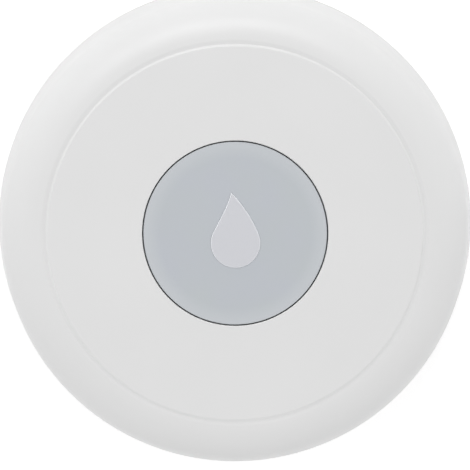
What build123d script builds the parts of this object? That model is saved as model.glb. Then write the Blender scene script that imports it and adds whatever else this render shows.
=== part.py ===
from build123d import *
import math
import os

# Water leak sensor: a round battery puck that stands on rubber feet over four probe pins.
# Millimetres, +Z up, origin under the middle of the puck on the surface that it stands on.
# The case is as low and as narrow as two cylindrical cells, side by side, allow:
# heights are added up from the feet, and radii outwards from the battery tub and the sounder beside it.

# Shared clearances and tools
cut_overrun = 1.0
slide_clearance = 0.05
seat_clearance = 0.05
drive_arm_share = 1 / 3

# Case walls and floor
foot_stand = 1.2
floor_thickness = 1.8
cover_wall = 1.8
base_round = 3.6
parting_height = 4.8
parting_reveal = 0.2

# Battery cells
cell_diameter = 10.5
cell_length = 44.5
cell_nub_diameter = 3.8
cell_nub_length = 0.8
cell_edge_round = 0.4
cell_groove_place = 1.6
cell_groove_width = 0.5
cell_groove_depth = 0.15
cell_gap = 0.3
cell_side_room = 0.35
cell_rest_gap = 0.1
cell_top_gap = 0.2

# Battery tub and its contacts
tub_wall = 1.2
tub_corner = 2.0
contact_thickness = 0.3
contact_width = 9.0
contact_dimple_diameter = 4.0
contact_dimple_height = 0.45
contact_tab_width = 3.0
contact_tab_proud = 0.5
battery_spring_length = 2.95
battery_spring_wire = 0.5
battery_spring_turns = 3
battery_spring_radius = 3.0

# Battery door
door_thickness = 1.5
door_gap = 0.15
door_ledge = 1.4
door_corner = 3.0
door_ear_radius = 3.4
door_ear_gap = 0.1
door_frame_wall = 1.6
door_frame_height = 1.8
door_gasket_height = 0.5
door_gasket_inset = 0.2
door_rib_thickness = 1.2
door_rib_place = 12.0
door_rib_side_gap = 0.5
door_panel_length = 32.0
door_panel_width = 13.0
door_panel_corner = 1.5
door_panel_depth = 0.15
door_notch_radius = 2.6
door_notch_depth = 0.7
door_screw_radius = 1.0
door_screw_head_radius = 1.9
door_screw_head_height = 0.9
door_screw_sunk = 0.15
door_screw_length = 5.0
door_insert_radius = 1.5
door_insert_length = 3.6
door_boss_radius = 3.0
door_boss_cap = 0.5
door_boss_tub_gap = 0.3

# Case bosses, screws and feet
boss_radius = 2.75
boss_tub_gap = 1.55
boss_lip_gap = 0.32
boss_pad_height = 2.0
boss_pad_radius = 3.3
boss_rib_thickness = 1.0
boss_rib_gap = 0.6
boss_rib_rim_gap = 0.6
case_screw_radius = 1.0
case_screw_head_radius = 1.9
case_screw_head_height = 1.4
case_screw_length = 10.0
case_screw_web = 1.8
case_screw_hole_extra = 1.5
foot_radius = 3.2
foot_pocket_depth = 0.4
foot_edge_round = 0.4

# Spigot and ring seal between base and cover
lip_side_room = 0.777
lip_thickness = 2.1
lip_fit = 0.1
lip_height = 2.6
seal_cord_radius = 0.475
seal_groove_width = 1.2
seal_groove_rise = 0.6

# Circuit board and its posts
board_standoff = 0.3
board_thickness = 1.0
board_edge_gap = 0.8
board_boss_gap = 0.35
post_radius = 2.2
post_place = 9.8
post_tub_gap = 0.3
board_screw_radius = 0.7
board_screw_head_radius = 1.7
board_screw_head_height = 1.0
board_screw_length = 4.0
board_screw_hole_extra = 1.0
board_hole_gap = 0.3

# Switch under the button
switch_side = 6.0
switch_cover_height = 0.4
switch_floor = 0.3
switch_dome_gap = 0.1
switch_plunger_radius = 1.5
switch_plunger_proud = 0.5
switch_flange_radius = 2.0
switch_flange_height = 0.3
switch_flange_stop = 0.1

# Parts on top of the board, each as length, width and height
led_size = (2.0, 1.25, 0.8)
led_place = 4.6
led_base_height = 0.35
led_lens_inset = 0.15
led_lens_taper = 14
controller_size = (7.0, 7.0, 0.9)
controller_place = (0, -13.0)
controller_body_side = 5.6
controller_body_lift = 0.1
controller_leg_count = 7
controller_leg_pitch = 0.65
controller_leg_width = 0.25
controller_leg_thickness = 0.12
controller_dimple_radius = 0.3
controller_dimple_inset = 0.7
controller_dimple_depth = 0.1
shield_size = (12.0, 10.0, 1.3)
shield_place = (0, 14.0)
shield_wall = 0.2
shield_corner = 0.6
shield_hole_radius = 0.4
shield_hole_pitch = 2.4
shield_hole_counts = (4, 3)
crystal_size = (3.2, 2.5, 0.8)
crystal_place = (-7.4, -9.5)
crystal_rim_height = 0.25
crystal_lid_inset = 0.2
crystal_corner = 0.4
antenna_size = (7.0, 2.0, 0.9)
antenna_edge_gap = 2.7
inductor_size = (4.0, 4.0, 1.4)
inductor_place = (-12.5, 5.0)
inductor_flange_height = 0.35
inductor_winding_inset = 0.35
inductor_corner = 0.6
capacitor_size = (1.6, 0.8, 0.8)
capacitor_place = (11.0, -6.0)
resistor_size = (1.05, 0.55, 0.35)
resistor_place = (14.4, -6.0)
chip_pitch = 2.4
chip_count = 6
chip_cap_share = 0.2
chip_cap_skin = 0.05

# Parts under the board
buzzer_radius = 7.0
buzzer_height = 6.5
buzzer_lip_gap = 1.0
buzzer_tub_gap = 1.75
buzzer_wall = 0.8
buzzer_ledge = 0.8
buzzer_lower_height = 2.2
buzzer_disc_thickness = 0.3
buzzer_mouth_radius = 1.2
vent_radius = 3.2
vent_thickness = 0.2
vent_lip_gap = 1.2
sound_port_radius = 0.6
sound_port_place = 1.8
sound_port_count = 4
storage_can_radius = 4.0
storage_can_height = 7.0
storage_base_side = 8.4
storage_base_height = 0.8
storage_crimp_depth = 0.3
storage_crimp_width = 0.8

# Probe pins in the floor, each with its seal, nut and contact spring
probe_side_place = 12.0
probe_lip_gap = 5.7
probe_head_radius = 2.5
probe_head_height = 0.9
probe_head_flat_radius = 1.6
probe_shank_radius = 1.2
probe_shank_length = 3.8
probe_tip_radius = 0.75
probe_tip_length = 1.5
probe_hole_gap = 0.1
probe_seal_cord_radius = 0.35
probe_seal_pocket_depth = 0.75
probe_nut_width = 4.0
probe_nut_height = 1.6
probe_spring_wire = 0.3
probe_spring_radius = 1.1
probe_spring_turns = 7

# Button, its water-drop window and its flexible seal
button_radius = 12.65
button_gap = 0.18
button_travel = 0.3
button_wall = 1.1
button_top_wall = 1.2
button_sink = 0.1
button_flange_width = 1.5
button_flange_height = 0.8
button_stop_gap = 0.1
button_edge_round = 0.12
window_edge_gap = 0.1
window_fit = 0.02
diaphragm_thickness = 0.5
diaphragm_nub_height = 0.3
diaphragm_nub_radius = 1.5
diaphragm_web_gap = 0.2
diaphragm_web_width = 1.0
diaphragm_web_lag = 0.2
diaphragm_rim_width = 2.6
clamp_thickness = 1.0
clamp_outer_width = 2.4
clamp_web_gap = 0.2
stake_radius = 0.7
stake_head_radius = 1.15
stake_head_height = 0.5
stake_inset = 1.2
stake_count = 6

# Water drop: a round lower part and a tip that leans to the left
drop_radius = 3.43
drop_centre_x = 0.05
drop_centre_y = -1.36
drop_tip_x = -0.61
drop_tip_y = 7.04
drop_right_leave_angle = 22.0
drop_left_leave_angle = 27.5
drop_left_straight = 2.56
drop_bevel = 0.12

# Plateau, groove, rounded rim and tapering wall of the cover
wall_draft_angle = 3.8
rim_width = 5.5
rim_height = 5.0
groove_fall_width = 0.45
groove_rise_width = 0.55
groove_depth = 0.17
rim_crest_drop = 0.1
button_hole_round = 0.12

# Heights, added up from the feet
base_bottom = foot_stand
floor_top = base_bottom + floor_thickness
door_top = base_bottom + door_thickness
ledge_level = door_top + door_gasket_height
cell_axis_height = ledge_level + cell_rest_gap + cell_diameter / 2
tub_ceiling = cell_axis_height + cell_diameter / 2 + cell_top_gap
tub_roof = tub_ceiling + tub_wall
board_bottom = tub_roof + board_standoff
board_top = board_bottom + board_thickness
switch_body_height = (
    switch_floor + switch_dome_gap + button_travel + switch_flange_height + switch_flange_stop
)
switch_top = board_top + switch_body_height + switch_cover_height
plunger_top = switch_top + switch_plunger_proud
diaphragm_bottom = plunger_top + diaphragm_nub_height
cap_bottom = diaphragm_bottom + diaphragm_thickness
cover_underside = cap_bottom + button_flange_height + button_stop_gap
plateau_top = cover_underside + cover_wall
cap_top = plateau_top - button_sink
clamp_top = cover_underside - diaphragm_thickness
clamp_bottom = clamp_top - clamp_thickness
parting_level = base_bottom + parting_height
lip_shoulder = parting_level - parting_reveal
lip_top = lip_shoulder + lip_height
rim_base = plateau_top - rim_crest_drop - rim_height
rim_inner_height = cover_underside - rim_base
boss_bottom = floor_top + boss_pad_height
frame_top = ledge_level + door_frame_height

# Plan sizes, added up from the battery tub
tub_length = cell_length + battery_spring_length + contact_dimple_height + 2 * contact_thickness
tub_width = 2 * cell_diameter + cell_gap + 2 * cell_side_room
tub_half_length = tub_length / 2
tub_half_width = tub_width / 2 + tub_wall
cell_place = (cell_diameter + cell_gap) / 2
tub_reach = math.hypot(tub_half_length + tub_wall, tub_half_width) + lip_side_room
buzzer_reach = tub_half_width + buzzer_tub_gap + 2 * buzzer_radius + buzzer_lip_gap
lip_inner = max(tub_reach, buzzer_reach)
lip_outer = lip_inner + lip_thickness
cover_inner = lip_outer + lip_fit
body_radius = cover_inner + cover_wall
wall_slope = math.tan(math.radians(wall_draft_angle))
rim_start_angle = math.degrees(math.atan(wall_slope * rim_height / rim_width))
rim_start_reach = rim_width * math.cos(math.radians(rim_start_angle))
rim_start_level = rim_base + rim_height * math.sin(math.radians(rim_start_angle))
crest_radius = body_radius - rim_start_reach - wall_slope * (rim_start_level - parting_level)
rim_inner_width = rim_width - cover_wall
rim_inner_radius = crest_radius + rim_inner_width
plateau_radius = crest_radius - groove_rise_width - groove_fall_width
boss_reach = lip_inner - boss_radius - boss_lip_gap
boss_y = tub_half_width + boss_radius + boss_tub_gap
boss_x = math.sqrt(boss_reach**2 - boss_y**2)
door_length = tub_length + 2 * door_ledge
door_width = tub_width + 2 * door_ledge
door_screw_y = tub_half_width + door_boss_radius + door_boss_tub_gap
post_y = tub_half_width + post_radius + post_tub_gap
board_radius = lip_inner - board_edge_gap
buzzer_y = lip_inner - buzzer_radius - buzzer_lip_gap
antenna_y = board_radius - antenna_edge_gap - antenna_size[1] / 2
vent_y = lip_inner - vent_radius - vent_lip_gap
probe_reach = lip_inner - probe_lip_gap
probe_y = math.sqrt(probe_reach**2 - probe_side_place**2)
flange_radius = button_radius + button_flange_width
web_inner = flange_radius + diaphragm_web_gap
web_outer = web_inner + diaphragm_web_width
diaphragm_radius = web_outer + diaphragm_rim_width
clamp_inner = web_outer + diaphragm_web_lag + clamp_web_gap
clamp_radius = diaphragm_radius + clamp_outer_width
stake_reach = clamp_radius - stake_inset


def disc(radius, low, high, x=0, y=0):
    return Pos(x, y, low) * Cylinder(radius, high - low, align=(Align.CENTER, Align.CENTER, Align.MIN))


def ring(inner, outer, low, high, x=0, y=0):
    return disc(outer, low, high, x, y) - disc(inner, low - cut_overrun, high + cut_overrun, x, y)


def block(length, width, low, high, x=0, y=0):
    return Pos(x, y, low) * Box(length, width, high - low, align=(Align.CENTER, Align.CENTER, Align.MIN))


def slab(outline, low, high):
    return extrude(Pos(0, 0, low) * outline, high - low)


def spun(*edges):
    return revolve(Plane.XZ * make_face(Wire(edges)), Axis.Z)


def spun_polygon(*points):
    return spun(*Polyline(*points, close=True).edges())


def mirrored(x, y):
    return [(side * x, end * y) for side in (1, -1) for end in (1, -1)]


def around(count, reach):
    turns = [2 * math.pi * n / count for n in range(count)]
    return [(reach * math.cos(turn), reach * math.sin(turn)) for turn in turns]


def fused(shapes):
    total = shapes[0]
    for shape in shapes[1:]:
        total = total + shape
    return total


def coil(wire_radius, coil_radius, length, turns):
    # An open coil about +Z whose ends touch the planes z = 0 and z = length.
    height = length - 2 * wire_radius
    path = Helix(height / turns, height, coil_radius, (0, 0, wire_radius))
    section = Plane(path @ 0, z_dir=path % 0) * Circle(wire_radius)
    return sweep(section, path, is_frenet=True)


def save(name, shapes):
    group = shapes if isinstance(shapes, list) else [shapes]
    solids = [solid for shape in group for solid in shape.solids()]
    export_step(solids[0] if len(solids) == 1 else Compound(solids), os.path.join("parts", name + ".step"))


def cover_outer_edges():
    groove_bottom = plateau_top - groove_depth
    crest_level = plateau_top - rim_crest_drop
    hole_radius = button_radius + button_gap
    hole_edge = (hole_radius, plateau_top - button_hole_round)
    hole_top = (hole_radius + button_hole_round, plateau_top)
    plateau_edge = (plateau_radius, plateau_top)
    valley = (plateau_radius + groove_fall_width, groove_bottom)
    crest = (crest_radius, crest_level)
    fall_middle = ((plateau_edge[0] + valley[0]) / 2, (plateau_edge[1] + valley[1]) / 2)
    rise_middle = ((valley[0] + crest[0]) / 2, (valley[1] + crest[1]) / 2)
    rim_turn = 90 - rim_start_angle
    rim_centre = (crest_radius, rim_base)
    rim = EllipticalCenterArc(rim_centre, rim_width, rim_height, rim_start_angle, arc_size=rim_turn)
    return [
        TangentArc(hole_edge, hole_top, tangent=(0, 1)),
        Line(hole_top, plateau_edge),
        TangentArc(plateau_edge, fall_middle, tangent=(1, 0)),
        TangentArc(valley, fall_middle, tangent=(-1, 0)),
        TangentArc(valley, rise_middle, tangent=(1, 0)),
        TangentArc(crest, rise_middle, tangent=(-1, 0)),
        rim,
        Line(rim @ 0, (body_radius, parting_level)),
        Line((hole_radius, cover_underside), hole_edge),
    ]


def cover_inner_edges():
    return [
        Line((body_radius, parting_level), (cover_inner, parting_level)),
        Line((cover_inner, parting_level), (cover_inner, lip_top)),
        Line((cover_inner, lip_top), (rim_inner_radius, rim_base)),
        EllipticalCenterArc((crest_radius, rim_base), rim_inner_width, rim_inner_height),
        Line((crest_radius, cover_underside), (button_radius + button_gap, cover_underside)),
    ]


def top_cover():
    shell = spun(*cover_outer_edges(), *cover_inner_edges())
    boss_root = cover_underside + cover_wall / 2
    rib_bottom = lip_top + boss_rib_gap
    rib_top = rim_base + boss_rib_rim_gap
    rib_length = rim_inner_radius + cover_wall / 2 - boss_reach
    boss_turn = math.degrees(math.atan2(boss_y, boss_x))
    rib = block(rib_length, boss_rib_thickness, rib_bottom, rib_top, boss_reach + rib_length / 2)
    for x, y in mirrored(boss_x, boss_y):
        turn = math.degrees(math.atan2(y, x))
        shell = shell + disc(boss_radius, boss_bottom, boss_root, x, y) + Rot(0, 0, turn) * rib
    for x, y in around(stake_count, stake_reach):
        shell = shell + disc(stake_radius, clamp_bottom, cover_underside + cover_wall / 2, x, y)
        shell = shell + disc(stake_head_radius, clamp_bottom - stake_head_height, clamp_bottom, x, y)
    screw_top = screw_head_top() + case_screw_length + case_screw_hole_extra
    for x, y in mirrored(boss_x, boss_y):
        shell = shell - disc(case_screw_radius + slide_clearance, boss_bottom - cut_overrun, screw_top, x, y)
    return shell


def diaphragm_clamp_ring():
    flat = ring(clamp_inner, clamp_radius, clamp_bottom, clamp_top)
    clamp = flat + ring(diaphragm_radius + seat_clearance, clamp_radius, clamp_bottom, cover_underside)
    for x, y in around(stake_count, stake_reach):
        clamp = clamp - disc(stake_radius + seat_clearance, clamp_bottom - cut_overrun, plateau_top, x, y)
    return clamp


def drop_outline():
    # One arc up the right side, and a straight then a hollow arc up the left side, to a leaning tip.
    right = math.radians(drop_right_leave_angle)
    left = math.radians(180 - drop_left_leave_angle)
    right_leave = (drop_radius * math.cos(right), drop_radius * math.sin(right))
    left_leave = (drop_radius * math.cos(left), drop_radius * math.sin(left))
    right_way = (-math.sin(right), math.cos(right))
    left_way = (math.sin(left), -math.cos(left))
    knee_x = left_leave[0] + drop_left_straight * left_way[0]
    knee_y = left_leave[1] + drop_left_straight * left_way[1]
    knee = (knee_x, knee_y)
    tip = (drop_tip_x, drop_tip_y)
    edges = [
        ThreePointArc(left_leave, (0, -drop_radius), right_leave),
        TangentArc(right_leave, tip, tangent=right_way),
        TangentArc(knee, tip, tangent=left_way),
        Line(left_leave, knee),
    ]
    return Pos(drop_centre_x, drop_centre_y) * make_face(Wire(edges))


def button_cap():
    round_start = (button_radius - button_edge_round, cap_top)
    round_end = (button_radius, cap_top - button_edge_round)
    flange_top = cap_bottom + button_flange_height
    hollow_radius = button_radius - button_wall
    ceiling = cap_top - button_top_wall
    cap = spun(
        Line((0, cap_top), round_start),
        TangentArc(round_start, round_end, tangent=(1, 0)),
        *Polyline(
            round_end,
            (button_radius, flange_top),
            (flange_radius, flange_top),
            (flange_radius, cap_bottom),
            (hollow_radius, cap_bottom),
            (hollow_radius, ceiling),
            (0, ceiling),
            (0, cap_top),
        ).edges(),
    )
    hole = offset(drop_outline(), window_fit)
    return cap - slab(hole, ceiling - cut_overrun, cap_top + cut_overrun)


def drop_window():
    ceiling = cap_top - button_top_wall
    light_guide = disc(button_radius - button_wall - window_edge_gap, cap_bottom, ceiling)
    drop = slab(drop_outline(), cap_bottom, plateau_top)
    return light_guide + chamfer(drop.edges().group_by(Axis.Z)[-1], drop_bevel)


def button_diaphragm():
    return spun_polygon(
        (0, plunger_top),
        (diaphragm_nub_radius, plunger_top),
        (diaphragm_nub_radius, diaphragm_bottom),
        (web_inner + diaphragm_web_lag, diaphragm_bottom),
        (web_outer + diaphragm_web_lag, clamp_top),
        (diaphragm_radius, clamp_top),
        (diaphragm_radius, cover_underside),
        (web_outer, cover_underside),
        (web_inner, cap_bottom),
        (0, cap_bottom),
    )


def contact_tab_places():
    tab_x = tub_half_length - contact_thickness / 2
    return [(tab_x, cell_place), (tab_x, -cell_place)]


def circuit_board():
    board = disc(board_radius, board_bottom, board_top)
    for x, y in mirrored(boss_x, boss_y):
        notch = disc(boss_radius + board_boss_gap, board_bottom - cut_overrun, board_top + cut_overrun, x, y)
        board = board - notch
    for x, y in mirrored(post_place, post_y):
        hole_radius = board_screw_radius + board_hole_gap
        board = board - disc(hole_radius, board_bottom - cut_overrun, board_top + cut_overrun, x, y)
    for x, y in contact_tab_places():
        slot_length = contact_thickness + 2 * seat_clearance
        slot_width = contact_tab_width + 2 * seat_clearance
        slot = block(slot_length, slot_width, board_bottom - cut_overrun, board_top + cut_overrun, x, y)
        board = board - slot
    return board


def board_screws():
    head_top = board_top + board_screw_head_height
    screws = []
    for x, y in mirrored(post_place, post_y):
        head = disc(board_screw_head_radius, board_top, head_top, x, y)
        screws.append(head + disc(board_screw_radius, board_top - board_screw_length, head_top, x, y))
    return screws


def switch_body():
    rim_top = board_top + switch_body_height
    well_radius = switch_flange_radius + slide_clearance
    body = block(switch_side, switch_side, board_top, rim_top)
    return body - disc(well_radius, board_top + switch_floor, rim_top + cut_overrun)


def switch_cover():
    plate = block(switch_side, switch_side, board_top + switch_body_height, switch_top)
    hole = disc(switch_plunger_radius + slide_clearance, board_top, switch_top + cut_overrun)
    return plate - hole


def switch_plunger():
    flange_top = board_top + switch_body_height - switch_flange_stop
    flange = disc(switch_flange_radius, flange_top - switch_flange_height, flange_top)
    return flange + disc(switch_plunger_radius, flange_top - switch_flange_height, plunger_top)


def on_board(size, place):
    length, width, height = size
    return block(length, width, board_top, board_top + height, place[0], place[1])


def rounded_on_board(size, place, corner):
    length, width, height = size
    return Pos(*place) * slab(RectangleRounded(length, width, corner), board_top, board_top + height)


def end_capped_chip(size, place):
    # A chip whose two metal end caps stand a little proud of its body.
    length, width, height = size
    cap_length = chip_cap_share * length
    body_size = (length - cap_length, width - 2 * chip_cap_skin, height - chip_cap_skin)
    chip = on_board(body_size, place)
    cap_reach = (length - cap_length) / 2
    for side in (1, -1):
        chip = chip + on_board((cap_length, width, height), (place[0] + side * cap_reach, place[1]))
    return chip


def chip_row(size, place):
    return [end_capped_chip(size, (place[0], place[1] + n * chip_pitch)) for n in range(chip_count)]


def status_led(place):
    length, width, height = led_size
    lens_size = (length - 2 * led_lens_inset, width - 2 * led_lens_inset)
    lens = extrude(Pos(*place, board_top) * Rectangle(*lens_size), height, taper=led_lens_taper)
    return on_board((length, width, led_base_height), place) + lens


def controller_leg():
    # One bent leg on the +X side: out of the body, down, and a flat foot on the board.
    side = controller_body_side / 2
    tip = controller_size[0] / 2
    bend = (side + tip) / 2
    thickness = controller_leg_thickness
    shoulder = board_top + (controller_body_lift + controller_size[2] + thickness) / 2
    outline = Polyline(
        (side - thickness, shoulder),
        (bend, shoulder),
        (bend, board_top + thickness),
        (tip, board_top + thickness),
        (tip, board_top),
        (bend - thickness, board_top),
        (bend - thickness, shoulder - thickness),
        (side - thickness, shoulder - thickness),
        close=True,
    )
    return extrude(Plane.XZ * make_face(outline), controller_leg_width / 2, both=True)


def microcontroller():
    top = board_top + controller_size[2]
    leg = controller_leg()
    package = block(controller_body_side, controller_body_side, board_top + controller_body_lift, top)
    middle = (controller_leg_count - 1) / 2
    for turn in (0, 90, 180, 270):
        for n in range(controller_leg_count):
            package = package + Rot(0, 0, turn) * Pos(0, (n - middle) * controller_leg_pitch) * leg
    dimple_place = controller_body_side / 2 - controller_dimple_inset
    dimple = disc(controller_dimple_radius, top - controller_dimple_depth, top + cut_overrun)
    return Pos(*controller_place) * (package - Pos(-dimple_place, dimple_place) * dimple)


def radio_shield():
    length, width, height = shield_size
    inside = (length - 2 * shield_wall, width - 2 * shield_wall, height - shield_wall)
    can = rounded_on_board(shield_size, shield_place, shield_corner)
    can = can - rounded_on_board(inside, shield_place, shield_corner - shield_wall)
    columns, rows = shield_hole_counts
    hole = Cylinder(shield_hole_radius, cut_overrun)
    holes = Pos(*shield_place, board_top + height) * GridLocations(
        shield_hole_pitch, shield_hole_pitch, columns, rows
    )
    for place in holes:
        can = can - place * hole
    return can


def crystal():
    length, width, height = crystal_size
    lid_size = (length - 2 * crystal_lid_inset, width - 2 * crystal_lid_inset, height)
    rim = rounded_on_board((length, width, crystal_rim_height), crystal_place, crystal_corner)
    return rim + rounded_on_board(lid_size, crystal_place, crystal_corner - crystal_lid_inset)


def power_inductor():
    # A square foot and a round head, with the winding between them.
    length, width, height = inductor_size
    foot = rounded_on_board((length, width, inductor_flange_height), inductor_place, inductor_corner)
    head_low = board_top + height - inductor_flange_height
    head = disc(width / 2, head_low, board_top + height, *inductor_place)
    winding = disc(width / 2 - inductor_winding_inset, board_top, head_low, *inductor_place)
    return foot + winding + head


def buzzer_case():
    low = board_bottom - buzzer_height
    ledge = low + buzzer_wall + buzzer_lower_height
    inner = buzzer_radius - buzzer_wall
    case = disc(buzzer_radius, low, board_bottom, 0, buzzer_y)
    case = case - disc(inner, ledge, board_bottom + cut_overrun, 0, buzzer_y)
    case = case - disc(inner - buzzer_ledge, low + buzzer_wall, board_bottom, 0, buzzer_y)
    return case - disc(buzzer_mouth_radius, low - cut_overrun, ledge, 0, buzzer_y)


def buzzer_disc():
    low = board_bottom - buzzer_height + buzzer_wall + buzzer_lower_height
    radius = buzzer_radius - buzzer_wall - seat_clearance
    return disc(radius, low, low + buzzer_disc_thickness, 0, buzzer_y)


def storage_capacitor():
    can_top = board_bottom - storage_base_height
    can_bottom = can_top - storage_can_height
    crimp_top = can_top - storage_crimp_width
    foot = block(storage_base_side, storage_base_side, can_top, board_bottom, 0, -buzzer_y)
    waist = storage_can_radius - storage_crimp_depth
    crimp = ring(waist, buzzer_radius, crimp_top - storage_crimp_width, crimp_top, 0, -buzzer_y)
    return foot + disc(storage_can_radius, can_bottom, can_top, 0, -buzzer_y) - crimp


def battery_cell(way, y):
    # Lies along X with its nub towards +X or -X, pressed on the dimple of its contact.
    radius = cell_diameter / 2
    body_length = cell_length - cell_nub_length
    tin = disc(radius, 0, body_length)
    tin = fillet(tin.edges().filter_by(GeomType.CIRCLE), cell_edge_round)
    groove_top = body_length - cell_groove_place
    groove = ring(radius - cell_groove_depth, cell_diameter, groove_top - cell_groove_width, groove_top)
    cell = tin - groove + disc(cell_nub_diameter / 2, 0, cell_length)
    back = contact_thickness + battery_spring_length - tub_half_length
    return Rot(0, 0, 0 if way > 0 else 180) * Pos(back, way * y, cell_axis_height) * Rot(0, 90, 0) * cell


def contact_plate(y, width, way, dimple_y):
    # A plate against the end wall of the tub, with a pressed dimple for a cell's nub.
    x = way * (tub_half_length - contact_thickness / 2)
    plate_low = cell_axis_height - contact_width / 2
    plate = block(contact_thickness, width, plate_low, plate_low + contact_width, x, y)
    if dimple_y is None:
        return plate
    reach = tub_half_length - contact_thickness - contact_dimple_height
    dimple = Rot(0, 90, 0) * disc(contact_dimple_diameter / 2, reach, tub_half_length - contact_thickness)
    return plate + Rot(0, 0, 0 if way > 0 else 180) * Pos(0, way * dimple_y, cell_axis_height) * dimple


def contact_tab(y):
    x = tub_half_length - contact_thickness / 2
    return block(contact_thickness, contact_tab_width, cell_axis_height, board_top + contact_tab_proud, x, y)


def positive_contact():
    return contact_plate(cell_place, contact_width, 1, cell_place) + contact_tab(cell_place)


def negative_contact():
    return contact_plate(-cell_place, contact_width, 1, None) + contact_tab(-cell_place)


def bridge_contact():
    return contact_plate(0, 2 * cell_place + contact_width, -1, -cell_place)


def battery_springs():
    wire = battery_spring_wire / 2
    shape = coil(wire, battery_spring_radius, battery_spring_length, battery_spring_turns)
    seat = tub_half_length - contact_thickness
    towards_plus = Pos(-seat, cell_place, cell_axis_height) * Rot(0, 90, 0) * shape
    return [towards_plus, Rot(0, 0, 180) * towards_plus]


def door_outline(margin):
    plate = RectangleRounded(door_length + 2 * margin, door_width + 2 * margin, door_corner + margin)
    ears = SlotCenterToCenter(2 * door_screw_y, 2 * (door_ear_radius + margin), rotation=90)
    return plate + ears


def door_screw_places():
    return [(0, door_screw_y), (0, -door_screw_y)]


def door_head_top():
    return base_bottom + door_screw_sunk + door_screw_head_height


def battery_door():
    door = slab(door_outline(-door_gap), base_bottom, door_top)
    for x, y in door_screw_places():
        door = door + disc(door_ear_radius - door_gap, base_bottom, ledge_level - door_ear_gap, x, y)
    for x in (door_rib_place, -door_rib_place):
        door = door + block(door_rib_thickness, tub_width - 2 * door_rib_side_gap, door_top, ledge_level, x)
    panel = RectangleRounded(door_panel_length, door_panel_width, door_panel_corner)
    door = door - slab(panel, base_bottom - cut_overrun, base_bottom + door_panel_depth)
    head_room = door_screw_head_radius + slide_clearance
    for x, y in door_screw_places():
        door = door - disc(head_room, base_bottom - cut_overrun, door_head_top(), x, y)
        door = door - disc(door_screw_radius + slide_clearance, base_bottom, ledge_level, x, y)
    return door


def door_gasket():
    outer_margin = 2 * (door_ledge - door_gasket_inset)
    inner_margin = 2 * door_gasket_inset
    outer_corner = door_corner - door_gasket_inset
    outer = RectangleRounded(tub_length + outer_margin, tub_width + outer_margin, outer_corner)
    inner = RectangleRounded(tub_length + inner_margin, tub_width + inner_margin, door_corner - door_ledge)
    return slab(outer - inner, door_top, ledge_level)


def door_screws():
    low = base_bottom + door_screw_sunk
    screws = []
    for x, y in door_screw_places():
        shank_radius = door_screw_radius - slide_clearance
        shank = disc(shank_radius, low, low + door_screw_length, x, y)
        head = disc(door_screw_head_radius, low, door_head_top(), x, y)
        screws.append(head + shank - drive_slot(door_screw_head_radius, low, x, y))
    return screws


def drive_slot(head_radius, low, x, y):
    # The cross of a screw's drive, in a head that faces down.
    arm = drive_arm_share * head_radius
    long_arm = block(2 * head_radius - 2 * arm, arm, low - cut_overrun, low + arm, x, y)
    return long_arm + block(arm, 2 * head_radius - 2 * arm, low - cut_overrun, low + arm, x, y)


def door_inserts():
    top = ledge_level + door_insert_length
    insert = ring(door_screw_radius, door_insert_radius, ledge_level, top)
    return [Pos(x, y) * insert for x, y in door_screw_places()]


def screw_head_top():
    return boss_bottom - case_screw_web


def case_screws():
    head_top = screw_head_top()
    low = head_top - case_screw_head_height
    screws = []
    for x, y in mirrored(boss_x, boss_y):
        screw = disc(case_screw_head_radius, low, head_top, x, y)
        screw = screw + disc(case_screw_radius, low, head_top + case_screw_length, x, y)
        screws.append(screw - drive_slot(case_screw_head_radius, low, x, y))
    return screws


def rubber_foot(x, y):
    foot = disc(foot_radius, 0, base_bottom + foot_pocket_depth, x, y)
    return fillet(foot.edges().group_by(Axis.Z)[0], foot_edge_round)


def case_gasket():
    groove_middle = lip_shoulder + seal_groove_rise + seal_groove_width / 2
    cord_reach = cover_inner - slide_clearance - seal_cord_radius
    return Pos(0, 0, groove_middle) * Torus(cord_reach, seal_cord_radius)


def probe_places():
    return mirrored(probe_side_place, probe_y)


def probe_pin(x, y):
    low = base_bottom - probe_head_height
    dome_middle = (probe_head_flat_radius + probe_head_radius) / 2
    shank_top = base_bottom + probe_shank_length
    tip_top = shank_top + probe_tip_length
    pin = spun(
        Line((0, low), (probe_head_flat_radius, low)),
        TangentArc((probe_head_flat_radius, low), (probe_head_radius, base_bottom), tangent=(1, 0)),
        *Polyline(
            (probe_head_radius, base_bottom),
            (probe_shank_radius, base_bottom),
            (probe_shank_radius, shank_top),
            (probe_tip_radius, shank_top),
            (probe_tip_radius, tip_top),
            (0, tip_top),
            (0, low),
        ).edges(),
    )
    return Pos(x, y) * pin


def probe_orings():
    cord_reach = probe_shank_radius + seat_clearance + probe_seal_cord_radius
    height = base_bottom + probe_seal_pocket_depth / 2
    return [Pos(x, y, height) * Torus(cord_reach, probe_seal_cord_radius) for x, y in probe_places()]


def probe_nuts():
    hexagon = RegularPolygon(probe_nut_width / 2, 6, major_radius=False)
    nut = hexagon - Circle(probe_shank_radius + seat_clearance)
    return [Pos(x, y) * slab(nut, floor_top, floor_top + probe_nut_height) for x, y in probe_places()]


def probe_springs():
    low = base_bottom + probe_shank_length
    wire = probe_spring_wire / 2
    shape = coil(wire, probe_spring_radius, board_bottom - low, probe_spring_turns)
    return [Pos(x, y, low) * shape for x, y in probe_places()]


def sound_vent_membrane():
    return disc(vent_radius, floor_top, floor_top + vent_thickness, 0, vent_y)


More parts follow.
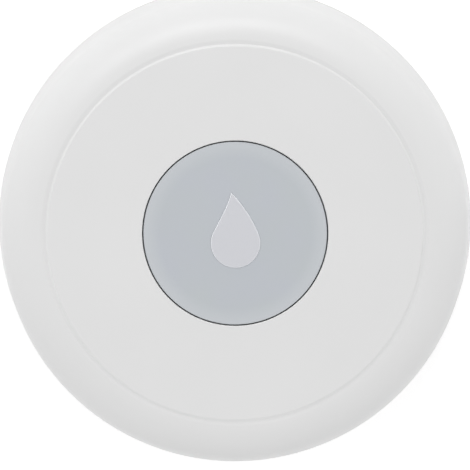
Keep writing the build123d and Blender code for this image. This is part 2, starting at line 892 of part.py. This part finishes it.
def base_bowl():
    groove_radius = cover_inner - 2 * (slide_clearance + seal_cord_radius)
    groove_low = lip_shoulder + seal_groove_rise
    groove_high = groove_low + seal_groove_width
    return spun(
        Line((0, base_bottom), (body_radius - base_round, base_bottom)),
        TangentArc(
            (body_radius - base_round, base_bottom), (body_radius, base_bottom + base_round), tangent=(1, 0)
        ),
        *Polyline(
            (body_radius, base_bottom + base_round),
            (body_radius, lip_shoulder),
            (lip_outer, lip_shoulder),
            (lip_outer, groove_low),
            (groove_radius, groove_low),
            (groove_radius, groove_high),
            (lip_outer, groove_high),
            (lip_outer, lip_top),
            (lip_inner, lip_top),
            (lip_inner, floor_top),
            (0, floor_top),
            (0, base_bottom),
        ).edges(),
    )


def base_additions():
    root = floor_top - floor_thickness / 2
    insert_top = ledge_level + door_insert_length
    tub = RectangleRounded(tub_length + 2 * tub_wall, 2 * tub_half_width, tub_corner)
    added = [slab(tub, root, tub_roof), slab(door_outline(door_frame_wall), root, frame_top)]
    for x, y in door_screw_places():
        added.append(disc(door_boss_radius, root, insert_top + door_boss_cap, x, y))
    for x, y in mirrored(boss_x, boss_y):
        added.append(disc(boss_pad_radius, root, boss_bottom, x, y))
    for x, y in mirrored(post_place, post_y):
        added.append(disc(post_radius, root, board_bottom, x, y))
    return added


def base_cuts():
    below = base_bottom - cut_overrun
    recess = slab(door_outline(0), below, ledge_level)
    cavity = slab(RectangleRounded(tub_length, tub_width, tub_corner - tub_wall), below, tub_ceiling)
    notch = disc(door_notch_radius, below, base_bottom + door_notch_depth, door_length / 2)
    cuts = [recess, cavity, notch]
    for x, y in contact_tab_places():
        slot_width = contact_tab_width + 2 * seat_clearance
        slot = block(contact_thickness, slot_width, cell_axis_height, tub_roof + cut_overrun, x, y)
        cuts.append(slot)
    for x, y in door_screw_places():
        insert_top = ledge_level + door_insert_length
        cuts.append(disc(door_insert_radius + seat_clearance, below, insert_top, x, y))
    for x, y in mirrored(boss_x, boss_y):
        cuts.append(disc(foot_radius + seat_clearance, below, base_bottom + foot_pocket_depth, x, y))
        cuts.append(disc(case_screw_head_radius + slide_clearance, below, screw_head_top(), x, y))
        cuts.append(disc(case_screw_radius + slide_clearance, below, boss_bottom + cut_overrun, x, y))
    for x, y in mirrored(post_place, post_y):
        thread_bottom = board_top - board_screw_length - board_screw_hole_extra
        cuts.append(disc(board_screw_radius + slide_clearance, thread_bottom, board_top, x, y))
    for x, y in probe_places():
        pocket_radius = probe_shank_radius + 2 * (seat_clearance + probe_seal_cord_radius)
        cuts.append(disc(probe_shank_radius + probe_hole_gap, below, floor_top + cut_overrun, x, y))
        cuts.append(disc(pocket_radius, below, base_bottom + probe_seal_pocket_depth, x, y))
    for x, y in [(0, 0), *around(sound_port_count, sound_port_place)]:
        cuts.append(disc(sound_port_radius, below, floor_top + cut_overrun, x, vent_y + y))
    return cuts


def base_shell():
    shell = fused([base_bowl(), *base_additions()])
    for cut in base_cuts():
        shell = shell - cut
    return shell


def save_all():
    save("top_cover", top_cover())
    save("button_cap", button_cap())
    save("drop_window", drop_window())
    save("button_diaphragm", button_diaphragm())
    save("diaphragm_clamp_ring", diaphragm_clamp_ring())
    save("circuit_board", circuit_board())
    save("board_screws", board_screws())
    save("switch_body", switch_body())
    save("switch_cover", switch_cover())
    save("switch_plunger", switch_plunger())
    save("status_leds", [status_led(place) for place in mirrored(led_place, led_place)])
    save("microcontroller", microcontroller())
    save("radio_shield", radio_shield())
    save("crystal", crystal())
    save("chip_antenna", end_capped_chip(antenna_size, (0, antenna_y)))
    save("power_inductor", power_inductor())
    save("ceramic_capacitors", chip_row(capacitor_size, capacitor_place))
    save("chip_resistors", chip_row(resistor_size, resistor_place))
    save("storage_capacitor", storage_capacitor())
    save("buzzer_case", buzzer_case())
    save("buzzer_disc", buzzer_disc())
    save("sound_vent_membrane", sound_vent_membrane())
    save("battery_cell_1", battery_cell(1, cell_place))
    save("battery_cell_2", battery_cell(-1, -cell_place))
    save("positive_contact", positive_contact())
    save("negative_contact", negative_contact())
    save("bridge_contact", bridge_contact())
    save("battery_springs", battery_springs())
    save("base_shell", base_shell())
    save("case_gasket", case_gasket())
    save("case_screws", case_screws())
    save("battery_door", battery_door())
    save("door_gasket", door_gasket())
    save("door_screws", door_screws())
    save("door_inserts", door_inserts())
    save("probe_orings", probe_orings())
    save("probe_nuts", probe_nuts())
    save("probe_springs", probe_springs())
    for number, (x, y) in enumerate(mirrored(boss_x, boss_y), start=1):
        save(f"rubber_foot_{number}", rubber_foot(x, y))
    for number, (x, y) in enumerate(probe_places(), start=1):
        save(f"probe_pin_{number}", probe_pin(x, y))


os.makedirs("parts", exist_ok=True)
save_all()
print("body diameter", round(2 * body_radius, 3), "height", round(plateau_top, 3))
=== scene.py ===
import math

import bpy
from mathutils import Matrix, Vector

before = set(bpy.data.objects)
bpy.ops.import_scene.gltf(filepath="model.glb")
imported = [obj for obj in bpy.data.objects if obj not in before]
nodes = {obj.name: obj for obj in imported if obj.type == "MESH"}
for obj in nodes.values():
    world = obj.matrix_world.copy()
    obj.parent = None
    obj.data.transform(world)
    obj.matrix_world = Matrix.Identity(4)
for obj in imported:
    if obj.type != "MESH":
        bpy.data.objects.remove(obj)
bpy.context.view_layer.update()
mm = 0.001
print("frame loaded,", len(nodes), "nodes")


# helpers for the materials below; textures are laid out in millimetres of the object

screenCurve = {"kneeAt": 0.04045, "slope": 12.92, "offset": 0.055, "power": 2.4, "full": 255}
noiseRange = (0.3, 0.7)  # soft noise hardly leaves this, so it is what gets stretched


def picked(red, green, blue):  # a screen colour, 0 to 255, as the light value that Blender wants
    def light(value):
        share, offset = value / screenCurve["full"], screenCurve["offset"]
        if share <= screenCurve["kneeAt"]:
            return share / screenCurve["slope"]
        return ((share + offset) / (1 + offset)) ** screenCurve["power"]
    return (light(red), light(green), light(blue), 1.0)


def addNode(tree, kind, inputs=None, **settings):
    made = tree.nodes.new(kind)
    for name, value in settings.items():
        setattr(made, name, value)
    for name, value in (inputs or {}).items():
        if isinstance(value, bpy.types.NodeSocket):
            tree.links.new(value, made.inputs[name])
        else:
            made.inputs[name].default_value = value
    return made


def startMaterial(name, roughness, metallic=0.0):
    material = bpy.data.materials.new(name)
    material.use_nodes = True
    tree = material.node_tree
    shader = tree.nodes["Principled BSDF"]
    shader.inputs["Roughness"].default_value = roughness
    shader.inputs["Metallic"].default_value = metallic
    place = addNode(tree, "ShaderNodeTexCoord").outputs["Object"]
    point = addNode(tree, "ShaderNodeVectorMath", {0: place, "Scale": 1 / mm}, operation="SCALE")
    return material, tree, shader, point.outputs[0]


def number(tree, operation, first, second=0.0):
    return addNode(tree, "ShaderNodeMath", {0: first, 1: second}, operation=operation).outputs[0]


def vector(tree, operation, first, second):
    return addNode(tree, "ShaderNodeVectorMath", {0: first, 1: second}, operation=operation).outputs[0]


def spread(tree, value, low, high, fromLow=0.0, fromHigh=1.0):
    inputs = {"Value": value, "From Min": fromLow, "From Max": fromHigh, "To Min": low, "To Max": high}
    return addNode(tree, "ShaderNodeMapRange", inputs).outputs[0]


def clouds(tree, point, grain, low=0.0, high=1.0):  # grain is how many to a millimetre, and their detail
    inputs = {"Vector": point, "Scale": grain[0], "Detail": grain[1]}
    found = addNode(tree, "ShaderNodeTexNoise", inputs).outputs["Fac"]
    return spread(tree, found, low, high, *noiseRange)


def cells(tree, point, perMm, **settings):  # distance to the middle of each cell
    inputs = {"Vector": point, "Scale": perMm}
    return addNode(tree, "ShaderNodeTexVoronoi", inputs, **settings).outputs["Distance"]


def flattened(tree, point):  # seen along z
    return vector(tree, "MULTIPLY", point, (1, 1, 0))


def reachFromAxis(tree, point):  # distance from the z axis
    level = flattened(tree, point)
    return addNode(tree, "ShaderNodeVectorMath", {0: level}, operation="LENGTH").outputs["Value"]


def facing(tree, axis):  # how far the surface faces along x (0), y (1) or z (2), from -1 to 1
    normal = addNode(tree, "ShaderNodeTexCoord").outputs["Normal"]
    return addNode(tree, "ShaderNodeSeparateXYZ", {0: normal}).outputs[axis]


def blended(tree, share, first, second):
    return addNode(tree, "ShaderNodeMix", {0: share, 6: first, 7: second}, data_type="RGBA").outputs[2]


def paint(tree, shader, color, roughness, height, depthMm):  # depthMm is how deep the height's 0 to 1 goes
    tree.links.new(color, shader.inputs["Base Color"])
    tree.links.new(roughness, shader.inputs["Roughness"])
    relief = addNode(tree, "ShaderNodeBump", {"Height": height, "Distance": depthMm * mm, "Strength": 1.0})
    tree.links.new(relief.outputs[0], shader.inputs["Normal"])


def dress(material, *names):  # a CAD piece keeps its mesh and takes the new material
    for name in names:
        for place in nodes[name].material_slots:
            place.material = material


# white cover, base and door: satin moulding with a very fine tool texture, and pits where it is left rough

coverFinish = {
    "color": picked(223, 223, 223), "drift": picked(225, 225, 225), "driftGrain": (0.06, 3.0),
    "roughness": (0.36, 0.44), "glossGrain": (0.4, 4.0),
    "toolGrain": (7.0, 3.0), "toolDepth": 0.0008, "pitsPerMm": 0.0, "pitShare": 0.0,
}
baseFinish = {
    "color": picked(219, 219, 217), "drift": picked(225, 225, 223), "driftGrain": (0.06, 3.0),
    "roughness": (0.5, 0.62), "glossGrain": (0.4, 4.0),
    "toolGrain": (5.0, 3.0), "toolDepth": 0.004, "pitsPerMm": 4.0, "pitShare": 0.5,
}
nylonFinish = {
    "color": picked(214, 213, 205), "drift": picked(224, 223, 214), "driftGrain": (0.06, 3.0),
    "roughness": (0.5, 0.6), "glossGrain": (0.4, 4.0),
    "toolGrain": (6.0, 3.0), "toolDepth": 0.002, "pitsPerMm": 3.0, "pitShare": 0.2,
}


def mouldedPlastic(name, finish):
    material, tree, shader, point = startMaterial(name, finish["roughness"][0])
    drift = clouds(tree, point, finish["driftGrain"])  # slow change of tone over the moulding
    height = clouds(tree, point, finish["toolGrain"])
    if finish["pitShare"]:
        pits = cells(tree, point, finish["pitsPerMm"])
        height = number(tree, "ADD", height, number(tree, "MULTIPLY", pits, finish["pitShare"]))
    gloss = clouds(tree, point, finish["glossGrain"], *finish["roughness"])
    color = blended(tree, drift, finish["color"], finish["drift"])
    paint(tree, shader, color, gloss, height, finish["toolDepth"])
    return material


coverWhite = mouldedPlastic("coverWhite", coverFinish)
baseWhite = mouldedPlastic("baseWhite", baseFinish)
nylon = mouldedPlastic("naturalNylon", nylonFinish)
dress(coverWhite, "top_cover")
dress(baseWhite, "base_shell", "battery_door")
dress(nylon, "diaphragm_clamp_ring")
print("white mouldings done")


# grey button with its faint slow mottle, and a painted highlight that makes it paler towards its edge

buttonFinish = {
    "color": picked(187, 192, 195.5), "mottle": picked(187, 191, 197.5), "mottleGrain": (0.16, 1.0),
    "edge": picked(194, 198, 202), "paintedHighlightFrom": 10.4, "paintedHighlightTo": 12.2,
    "roughness": (0.42, 0.5), "glossGrain": (0.5, 4.0), "toolGrain": (8.0, 3.0), "toolDepth": 0.0008,
}


def buttonGrey(finish):
    material, tree, shader, point = startMaterial("buttonGrey", finish["roughness"][0])
    mottle = clouds(tree, point, finish["mottleGrain"])
    gloss = clouds(tree, point, finish["glossGrain"], *finish["roughness"])
    # painted highlight: the colour goes paler from 10.4 to 12.2 mm out from the middle of the cap
    edge = spread(tree, reachFromAxis(tree, point), 0.0, 1.0, finish["paintedHighlightFrom"], finish["paintedHighlightTo"])
    color = blended(tree, mottle, finish["color"], finish["mottle"])
    color = blended(tree, edge, color, finish["edge"])
    paint(tree, shader, color, gloss, clouds(tree, point, finish["toolGrain"]), finish["toolDepth"])
    return material


dress(buttonGrey(buttonFinish), "button_cap")


# frosted drop: the light guide, with a painted highlight along its bevelled edge

dropFinish = {
    "color": picked(206, 207, 212), "edge": picked(228, 230, 234), "bevelHighlightFrom": 0.75, "bevelHighlightTo": 0.98,
    "roughness": (0.5, 0.6), "hazeGrain": (0.5, 2.0), "frostGrain": (12.0, 3.0), "frostDepth": 0.002,
}


def frostedWindow(finish):
    material, tree, shader, point = startMaterial("frostedWindow", finish["roughness"][0])
    # 1 on the bevel and the sides, 0 on the flat face: where the highlight is painted
    bevel = spread(tree, facing(tree, 2), 1.0, 0.0, finish["bevelHighlightFrom"], finish["bevelHighlightTo"])
    haze = clouds(tree, point, finish["hazeGrain"], *finish["roughness"])
    frost = clouds(tree, point, finish["frostGrain"])
    # painted highlight: the bevel and the sides are painted paler than the flat face, which also lightens
    # the shade in the gap round the drop
    color = blended(tree, bevel, finish["color"], finish["edge"])
    paint(tree, shader, color, haze, frost, finish["frostDepth"])
    return material


dress(frostedWindow(dropFinish), "drop_window")
print("button done")


# rubber and silicone

softFinish = {"dustGrain": (0.7, 4.0), "skinGrain": (6.0, 4.0), "glossGrain": (1.1, 3.0)}
footRubber = {
    "color": picked(70, 71, 73), "dusty": picked(84, 85, 87),
    "roughness": (0.7, 0.85), "skinDepth": 0.006,
}
greySilicone = {
    "color": picked(150, 152, 154), "dusty": picked(160, 162, 164),
    "roughness": (0.5, 0.62), "skinDepth": 0.002,
}
clearSilicone = {
    "color": picked(214, 216, 218), "dusty": picked(224, 226, 228),
    "roughness": (0.35, 0.5), "skinDepth": 0.001,
}


def softMoulding(name, rubber, finish):
    material, tree, shader, point = startMaterial(name, rubber["roughness"][0])
    dust = clouds(tree, point, finish["dustGrain"])
    gloss = clouds(tree, point, finish["glossGrain"], *rubber["roughness"])
    color = blended(tree, dust, rubber["color"], rubber["dusty"])
    paint(tree, shader, color, gloss, clouds(tree, point, finish["skinGrain"]), rubber["skinDepth"])
    return material


dress(softMoulding("footRubber", footRubber, softFinish),
      "rubber_foot_1", "rubber_foot_2", "rubber_foot_3", "rubber_foot_4")
dress(softMoulding("greySilicone", greySilicone, softFinish), "case_gasket", "door_gasket", "probe_orings")
dress(softMoulding("clearSilicone", clearSilicone, softFinish), "button_diaphragm")
print("rubber done")


# turned metal: fine rings round the axis of the piece, which stands in all four corners alike

turnedFinish = {
    "ringsPerMm": 9.0, "ringDepth": 0.0012, "wobble": 0.06, "wobbleGrain": (1.5, 2.0),
    "tarnishGrain": (0.9, 5.0), "glossGrain": (2.2, 4.0),
}
gold = {"color": picked(236, 208, 146), "tarnish": picked(226, 192, 124), "roughness": (0.14, 0.24)}
steel = {"color": picked(186, 187, 190), "tarnish": picked(160, 161, 164), "roughness": (0.3, 0.42)}
brass = {"color": picked(214, 184, 112), "tarnish": picked(184, 148, 82), "roughness": (0.28, 0.42)}
aluminium = {"color": picked(206, 208, 211), "tarnish": picked(186, 188, 191), "roughness": (0.28, 0.4)}
axes = {
    "probe": (12.0, 19.97), "caseScrew": (20.0, 16.5), "boardScrew": (9.8, 14.7), "doorScrew": (0.0, 15.5),
    "sounderAndCan": (0.0, 21.0),
}


def turnedMetal(name, metal, axis, finish):
    material, tree, shader, point = startMaterial(name, metal["roughness"][0], metallic=1.0)
    folded = addNode(tree, "ShaderNodeVectorMath", {0: point}, operation="ABSOLUTE").outputs[0]
    reach = reachFromAxis(tree, vector(tree, "SUBTRACT", folded, (*axis, 0)))
    wobble = number(tree, "ADD", reach, clouds(tree, point, finish["wobbleGrain"], 0.0, finish["wobble"]))
    rings = number(tree, "SINE", number(tree, "MULTIPLY", wobble, finish["ringsPerMm"] * math.tau))
    tarnish = clouds(tree, point, finish["tarnishGrain"])
    gloss = clouds(tree, point, finish["glossGrain"], *metal["roughness"])
    color = blended(tree, tarnish, metal["color"], metal["tarnish"])
    paint(tree, shader, color, gloss, spread(tree, rings, 0.0, 1.0, -1.0, 1.0), finish["ringDepth"])
    return material


def dressTurned(name, metal, axis, *names):
    dress(turnedMetal(name, metal, axes[axis], turnedFinish), *names)


dressTurned("probeGold", gold, "probe", "probe_pin_1", "probe_pin_2", "probe_pin_3", "probe_pin_4")
dressTurned("probeSteel", steel, "probe", "probe_nuts")
dressTurned("caseSteel", steel, "caseScrew", "case_screws")
dressTurned("boardSteel", steel, "boardScrew", "board_screws")
dressTurned("doorSteel", steel, "doorScrew", "door_screws")
dressTurned("doorBrass", brass, "doorScrew", "door_inserts")
dressTurned("buzzerBrass", brass, "sounderAndCan", "buzzer_disc")
dressTurned("canAluminium", aluminium, "sounderAndCan", "storage_capacitor")


# rolled metal: contacts, springs and shields, with a grain drawn out along z or x

rolledFinish = {"grain": (1.0, 3.0), "grainDepth": 0.0012, "tarnishGrain": (0.5, 5.0)}
contactNickel = {
    "color": picked(208, 205, 198), "tarnish": picked(184, 180, 172), "roughness": (0.2, 0.34),
    "stretch": (6, 6, 0.5),
}
shieldNickel = {
    "color": picked(206, 205, 202), "tarnish": picked(188, 187, 184), "roughness": (0.26, 0.4),
    "stretch": (0.5, 7, 7),
}


def rolledMetal(name, metal, finish):
    material, tree, shader, point = startMaterial(name, metal["roughness"][0], metallic=1.0)
    grain = clouds(tree, vector(tree, "MULTIPLY", point, metal["stretch"]), finish["grain"])
    tarnish = clouds(tree, point, finish["tarnishGrain"])
    color = blended(tree, tarnish, metal["color"], metal["tarnish"])
    paint(tree, shader, color, spread(tree, grain, *metal["roughness"]), grain, finish["grainDepth"])
    return material


dress(rolledMetal("contactNickel", contactNickel, rolledFinish),
      "positive_contact", "negative_contact", "bridge_contact", "battery_springs", "probe_springs")
dress(rolledMetal("shieldNickel", shieldNickel, rolledFinish), "radio_shield", "crystal", "switch_cover")
print("metal done")


# circuit board: solder mask over squared traces, tinned vias, bare glass fibre along the edge

boardFinish = {
    "mask": picked(24, 92, 52), "trace": picked(38, 120, 70),
    "tin": picked(196, 196, 190), "fibre": picked(196, 186, 138),
    "cellPerMm": 0.55, "traceShare": 0.16, "viaPerMm": 0.42, "viaRadius": 0.13, "copperDepth": 0.03,
    "roughness": (0.24, 0.34), "glossGrain": (1.2, 3.0), "fibreRoughness": 0.4, "edgeBelow": 0.5,
    "plainRoughness": 0.3,
}


def boardGreen(finish):
    material, tree, shader, point = startMaterial("boardGreen", finish["plainRoughness"])
    level = flattened(tree, point)
    near = cells(tree, level, finish["cellPerMm"], distance="CHEBYCHEV", feature="F1")
    beyond = cells(tree, level, finish["cellPerMm"], distance="CHEBYCHEV", feature="F2")
    copper = number(tree, "LESS_THAN", number(tree, "SUBTRACT", beyond, near), finish["traceShare"])
    vias = number(tree, "LESS_THAN", cells(tree, level, finish["viaPerMm"]), finish["viaRadius"])
    edge = number(tree, "LESS_THAN", number(tree, "ABSOLUTE", facing(tree, 2)), finish["edgeBelow"])
    color = blended(tree, copper, finish["mask"], finish["trace"])
    color = blended(tree, vias, color, finish["tin"])
    color = blended(tree, edge, color, finish["fibre"])
    mask = clouds(tree, point, finish["glossGrain"], *finish["roughness"])
    gloss = number(tree, "ADD", mask, number(tree, "MULTIPLY", edge, finish["fibreRoughness"]))
    paint(tree, shader, color, gloss, copper, finish["copperDepth"])
    return material


dress(boardGreen(boardFinish), "circuit_board")


# parts on the board, the sounder's case and the film over its holes

compoundFinish = {"detail": 4.0, "glossGrain": (2.0, 2.0), "fleckDepth": 0.003}
chipBlack = {
    "color": picked(44, 44, 46), "fleck": picked(58, 58, 60),
    "roughness": (0.5, 0.65), "fleckPerMm": 7.0,
}
ceramicTan = {
    "color": picked(190, 160, 126), "fleck": picked(206, 178, 144),
    "roughness": (0.4, 0.5), "fleckPerMm": 9.0,
}
lampYellow = {
    "color": picked(236, 226, 168), "fleck": picked(244, 236, 190),
    "roughness": (0.35, 0.45), "fleckPerMm": 9.0,
}
ventFilm = {
    "color": picked(230, 230, 230), "fleck": picked(214, 214, 214),
    "roughness": (0.75, 0.85), "fleckPerMm": 14.0,
}


def firedCompound(name, compound, finish):
    material, tree, shader, point = startMaterial(name, compound["roughness"][0])
    fleck = clouds(tree, point, (compound["fleckPerMm"], finish["detail"]))
    gloss = clouds(tree, point, finish["glossGrain"], *compound["roughness"])
    color = blended(tree, fleck, compound["color"], compound["fleck"])
    paint(tree, shader, color, gloss, fleck, finish["fleckDepth"])
    return material


dress(firedCompound("chipBlack", chipBlack, compoundFinish),
      "microcontroller", "chip_resistors", "power_inductor", "buzzer_case", "switch_body", "switch_plunger")
dress(firedCompound("ceramicTan", ceramicTan, compoundFinish), "ceramic_capacitors", "chip_antenna")
dress(firedCompound("lampYellow", lampYellow, compoundFinish), "status_leds")
dress(firedCompound("ventFilm", ventFilm, compoundFinish), "sound_vent_membrane")
print("board done")


# battery cells: plain printed bands on the film, a plus at the positive end, bare metal at both ends

cellFinish = {
    "jacket": picked(58, 78, 96), "band": picked(196, 200, 204), "metal": picked(206, 204, 198),
    "bandStart": 12.0, "lineAt": 10.6, "lineWidth": 0.4, "endAbove": 0.6,
    "axisAt": 5.4, "plusAt": 16.5, "plusArm": 1.5, "plusStroke": 0.3, "plus": picked(52, 60, 68),
    "roughness": (0.24, 0.32), "scuffGrain": (1.3, 5.0), "wrapGrain": (0.5, 2.0), "wrapDepth": 0.006,
    "plainRoughness": 0.28,
}


def inBar(tree, one, other, longHalf, shortHalf):  # 1 inside a bar about the middle
    inLong = number(tree, "LESS_THAN", number(tree, "ABSOLUTE", one), longHalf)
    inShort = number(tree, "LESS_THAN", number(tree, "ABSOLUTE", other), shortHalf)
    return number(tree, "MULTIPLY", inLong, inShort)


def cellJacket(finish):
    material, tree, shader, point = startMaterial("cellJacket", finish["plainRoughness"])
    parts = addNode(tree, "ShaderNodeSeparateXYZ", {0: point}).outputs
    along = number(tree, "MULTIPLY", parts[0], number(tree, "SIGN", parts[1]))  # the cells lie opposite ways
    band = number(tree, "GREATER_THAN", along, finish["bandStart"])
    line = number(tree, "COMPARE", along, finish["lineAt"])
    line.node.inputs[2].default_value = finish["lineWidth"] / 2
    printed = blended(tree, number(tree, "MAXIMUM", band, line), finish["jacket"], finish["band"])
    fromPlus = number(tree, "SUBTRACT", along, finish["plusAt"])
    fromAxis = number(tree, "SUBTRACT", number(tree, "ABSOLUTE", parts[1]), finish["axisAt"])
    arm, stroke = finish["plusArm"], finish["plusStroke"]
    plus = number(tree, "MAXIMUM", inBar(tree, fromPlus, fromAxis, arm, stroke),
                  inBar(tree, fromAxis, fromPlus, arm, stroke))
    printed = blended(tree, plus, printed, finish["plus"])
    bare = number(tree, "GREATER_THAN", number(tree, "ABSOLUTE", facing(tree, 0)), finish["endAbove"])
    scuffs = clouds(tree, point, finish["scuffGrain"], *finish["roughness"])
    tree.links.new(bare, shader.inputs["Metallic"])
    color = blended(tree, bare, printed, finish["metal"])
    paint(tree, shader, color, scuffs, clouds(tree, point, finish["wrapGrain"]), finish["wrapDepth"])
    return material


dress(cellJacket(cellFinish), "battery_cell_1", "battery_cell_2")
print("cells done")


# floor: white, with the object's soft shadow; from below it lets the eye through

floorSettings = {
    "radius": 1.5, "footprint": 0.0315, "color": picked(203, 203, 203), "lift": 0.6, "fromBelow": 0.95,
    "sides": 96,
}


def seenDirectly(tree):  # 1 for the camera, a reflection or a look through glass, and 0 for light
    rays = addNode(tree, "ShaderNodeLightPath").outputs
    seen = number(tree, "MAXIMUM", rays["Is Camera Ray"], rays["Is Glossy Ray"])
    return number(tree, "MAXIMUM", seen, rays["Is Transmission Ray"])


def floorMaterial(name, settings, opensUnder):
    material = bpy.data.materials.new(name)
    material.use_nodes = True
    tree = material.node_tree
    tree.nodes.remove(tree.nodes["Principled BSDF"])
    seen = seenDirectly(tree)
    white = addNode(tree, "ShaderNodeBsdfDiffuse", {"Color": settings["color"]}).outputs[0]
    lift = number(tree, "MULTIPLY", seen, settings["lift"])
    glow = addNode(tree, "ShaderNodeEmission", {"Strength": lift}).outputs[0]
    front = addNode(tree, "ShaderNodeAddShader", {0: white, 1: glow}).outputs[0]
    clear = addNode(tree, "ShaderNodeBsdfTransparent").outputs[0]
    through = addNode(tree, "ShaderNodeNewGeometry").outputs["Backfacing"]
    if opensUnder:  # some light comes up under the object, so that its underside can be looked at
        let = number(tree, "MULTIPLY", number(tree, "SUBTRACT", 1.0, seen), settings["fromBelow"])
        through = number(tree, "MAXIMUM", through, let)
    mixed = addNode(tree, "ShaderNodeMixShader", {0: through, 1: front, 2: clear}).outputs[0]
    tree.links.new(mixed, tree.nodes["Material Output"].inputs["Surface"])
    return material


def floorPiece(name, inner, outer, settings, opensUnder):
    count = settings["sides"]

    def circle(reach):
        turns = [math.tau * k / count for k in range(count)]
        return [(reach * math.cos(turn), reach * math.sin(turn), 0) for turn in turns]

    mesh = bpy.data.meshes.new(name)
    if inner:
        faces = [(k, (k + 1) % count, count + (k + 1) % count, count + k) for k in range(count)]
        mesh.from_pydata(circle(outer) + circle(inner), [], faces)
    else:
        mesh.from_pydata(circle(outer), [], [tuple(range(count))])
    mesh.materials.append(floorMaterial(name + "White", settings, opensUnder))
    piece = bpy.data.objects.new(name, mesh)
    bpy.context.scene.collection.objects.link(piece)


floorPiece("floorRound", floorSettings["footprint"], floorSettings["radius"], floorSettings, False)
floorPiece("floorUnder", 0, floorSettings["footprint"], floorSettings, True)
print("floor done")


# light: a pale room with bright sides and a low glow on the far side, and one softbox

roomSettings = {"even": 0.14, "near": 0.83, "sides": 1.43, "farGlow": 4.4, "farNarrow": 14.0}
softboxSettings = {"width": 0.8, "height": 0.35, "distance": 1.0, "lean": 40, "turn": 9, "watts": 3.53}


def paleRoom(settings):
    world = bpy.data.worlds.new("paleRoom")
    bpy.context.scene.world = world
    world.use_nodes = True
    tree = world.node_tree
    background = tree.nodes["Background"]
    way = addNode(tree, "ShaderNodeTexCoord").outputs["Generated"]
    parts = addNode(tree, "ShaderNodeSeparateXYZ", {0: way}).outputs
    across, along = parts[0], parts[1]
    near = number(tree, "MAXIMUM", number(tree, "MULTIPLY", along, -settings["near"]), 0.0)
    sides = number(tree, "MULTIPLY", number(tree, "MULTIPLY", across, across), settings["sides"])
    far = number(tree, "POWER", number(tree, "MAXIMUM", along, 0.0), settings["farNarrow"])
    glow = number(tree, "ADD", number(tree, "ADD", near, sides), settings["even"])
    glow = number(tree, "ADD", glow, number(tree, "MULTIPLY", far, settings["farGlow"]))
    white = {0: seenDirectly(tree), 2: glow, 3: 1.0}  # the glow lights, and what is seen is plain white
    strength = addNode(tree, "ShaderNodeMix", white, data_type="FLOAT").outputs[0]
    tree.links.new(strength, background.inputs["Strength"])
    background.inputs["Color"].default_value = (1, 1, 1, 1)


def softbox(settings):
    data = bpy.data.lights.new("softbox", "AREA")
    data.shape = "RECTANGLE"
    data.size, data.size_y = settings["width"], settings["height"]
    data.energy = settings["watts"]
    lamp = bpy.data.objects.new("softbox", data)
    bpy.context.scene.collection.objects.link(lamp)
    lean, turn = math.radians(settings["lean"]), math.radians(settings["turn"])
    way = Vector((-math.sin(turn) * math.sin(lean), math.cos(turn) * math.sin(lean), math.cos(lean)))
    lamp.location = way * settings["distance"]
    lamp.rotation_euler = way.to_track_quat("Z", "Y").to_euler()


paleRoom(roomSettings)
softbox(softboxSettings)
print("light done")


# camera: long lens, a little towards the tip of the drop from straight above

cameraSettings = {
    "distance": 1.0, "backward": 5.64, "sideways": 0.14, "lens": 550.0, "sensor": 36.0,
    "aim": (0.0, -0.0013, 0.011), "clip": (0.01, 10),
}


def placeCamera(settings):
    camera = bpy.data.objects.new("camera", bpy.data.cameras.new("camera"))
    bpy.context.scene.collection.objects.link(camera)
    lean, side = math.radians(settings["backward"]), math.radians(settings["sideways"])
    camera.rotation_euler = (-lean, -side, 0)
    camera.data.lens = settings["lens"]
    camera.data.sensor_width = settings["sensor"]
    away = camera.rotation_euler.to_matrix() @ Vector((0, 0, settings["distance"]))
    camera.location = [start + step for start, step in zip(settings["aim"], away)]
    camera.data.clip_start, camera.data.clip_end = settings["clip"]
    bpy.context.scene.camera = camera


placeCamera(cameraSettings)
bpy.context.scene.view_settings.view_transform = "Standard"

print("scene ready")
